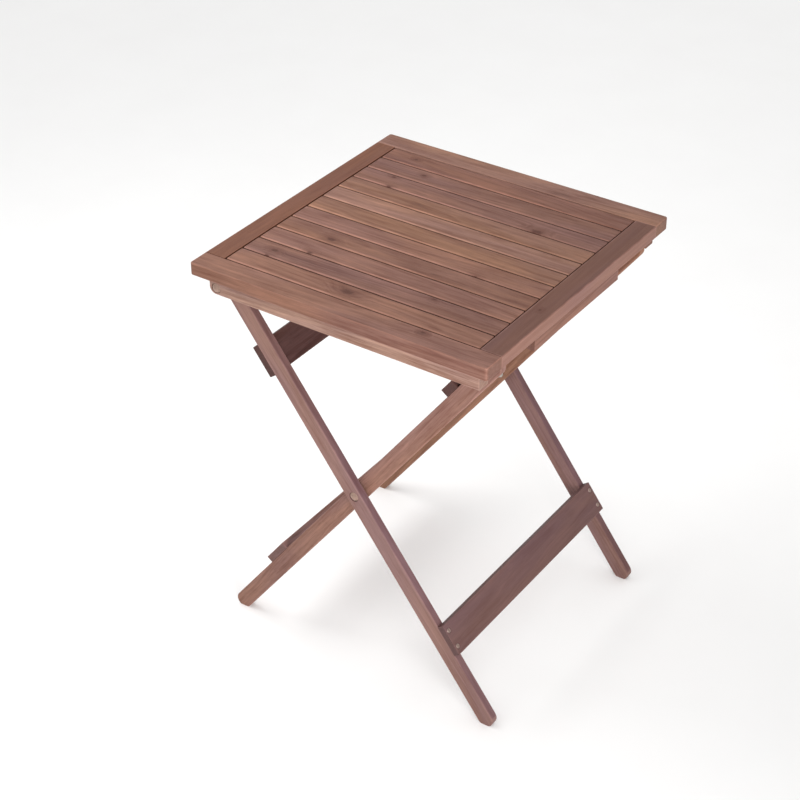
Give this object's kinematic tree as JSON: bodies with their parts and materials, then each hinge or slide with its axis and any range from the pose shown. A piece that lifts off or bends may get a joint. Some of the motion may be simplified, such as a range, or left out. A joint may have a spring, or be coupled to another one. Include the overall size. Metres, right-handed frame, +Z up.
{
  "type": "folding table",
  "caption": "Square slatted wooden folding table on two crossed leg frames; the top hangs from the outer frame and the inner frame's head slides under it.",
  "frame": {"origin": "on the floor at the centre of the open table's bounding box", "axes": "+X runs along the slats towards the end the inner frame's head holds up, +Y runs across the slats to the back, +Z is up"},
  "size_m": [0.5576, 0.556, 0.724],
  "materials": {
    "rail_wood": "oiled reddish brown hardwood, satin",
    "slat_wood": "oiled reddish brown hardwood, satin",
    "leg_wood": "oiled reddish brown hardwood, satin",
    "board_wood": "oiled reddish brown hardwood, satin",
    "dowel_wood": "plain beech, dry",
    "steel": "bright zinc plate"
  },
  "bodies": {
    "outer_frame": {"outer_leg_front": "leg_wood", "outer_leg_back": "leg_wood", "outer_stretcher": "board_wood", "outer_crossbar": "board_wood", "outer_stretcher_screws": "steel", "outer_crossbar_screws": "steel", "crossing_bolts": "steel", "crossing_spacers": "steel", "crossing_washers": "steel", "crossing_nuts": "steel", "apron_washers": "steel"},
    "inner_frame": {"inner_leg_front": "leg_wood", "inner_leg_back": "leg_wood", "inner_stretcher": "board_wood", "inner_crossbar": "board_wood", "inner_head_bar": "board_wood", "inner_stretcher_screws": "steel", "inner_crossbar_screws": "steel", "inner_head_bar_screws": "steel"},
    "tabletop": {"rail_front": "rail_wood", "rail_back": "rail_wood", "rail_left": "rail_wood", "rail_right": "rail_wood", "slat_01": "slat_wood", "slat_02": "slat_wood", "slat_03": "slat_wood", "slat_04": "slat_wood", "slat_05": "slat_wood", "slat_06": "slat_wood", "slat_07": "slat_wood", "slat_08": "slat_wood", "slat_09": "slat_wood", "slat_10": "slat_wood", "slat_11": "slat_wood", "apron_front": "rail_wood", "apron_back": "rail_wood", "stop_batten": "rail_wood", "rail_dowels": "dowel_wood", "apron_screws": "steel", "stop_batten_screws": "steel", "apron_bolts": "steel", "apron_barrel_nuts": "steel"}
  },
  "joints": [
    {"name": "inner_frame_fold", "type": "hinge", "parent": "outer_frame", "child": "inner_frame", "pos_m": [0.0042, 0, 0.361], "axis": [0, -1, 0], "range_deg": [0, 73]},
    {"name": "top_swing", "type": "hinge", "parent": "outer_frame", "child": "tabletop", "pos_m": [-0.2368, 0, 0.685], "axis": [0, -1, 0], "range_deg": [0, 126.3]}
  ],
  "couplings": [
    {"joint": "top_swing", "follows": "inner_frame_fold", "ratio": 1.73}
  ]
}
